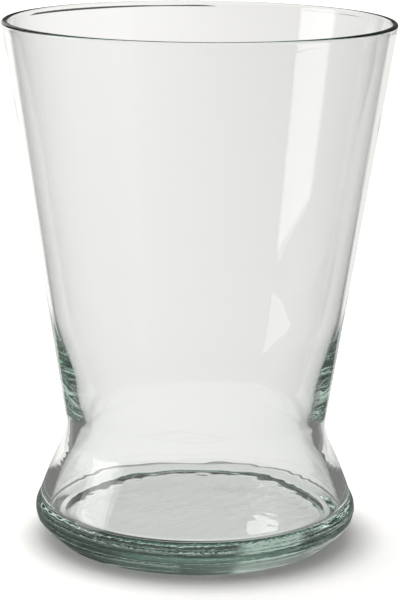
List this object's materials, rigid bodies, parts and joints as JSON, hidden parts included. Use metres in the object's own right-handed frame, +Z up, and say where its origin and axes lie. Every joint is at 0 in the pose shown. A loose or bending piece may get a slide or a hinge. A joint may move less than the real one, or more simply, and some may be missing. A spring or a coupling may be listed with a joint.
{
  "type": "forcing vase",
  "caption": "Clear glass bulb-forcing vase: wide conical bowl over a narrow waist, with a flared foot chamber and a thick rounded base.",
  "frame": {"origin": "on the table under the middle of the foot", "axes": "+Z up along the axis of the vase, towards the mouth; it is round, so +X and +Y are any two level directions"},
  "size_m": [0.185, 0.185, 0.25],
  "materials": {
    "clear_glass": "clear, fire polished, faint green in the thick parts"
  },
  "bodies": {
    "root": {"glass_vase": "clear_glass"}
  },
  "joints": []
}
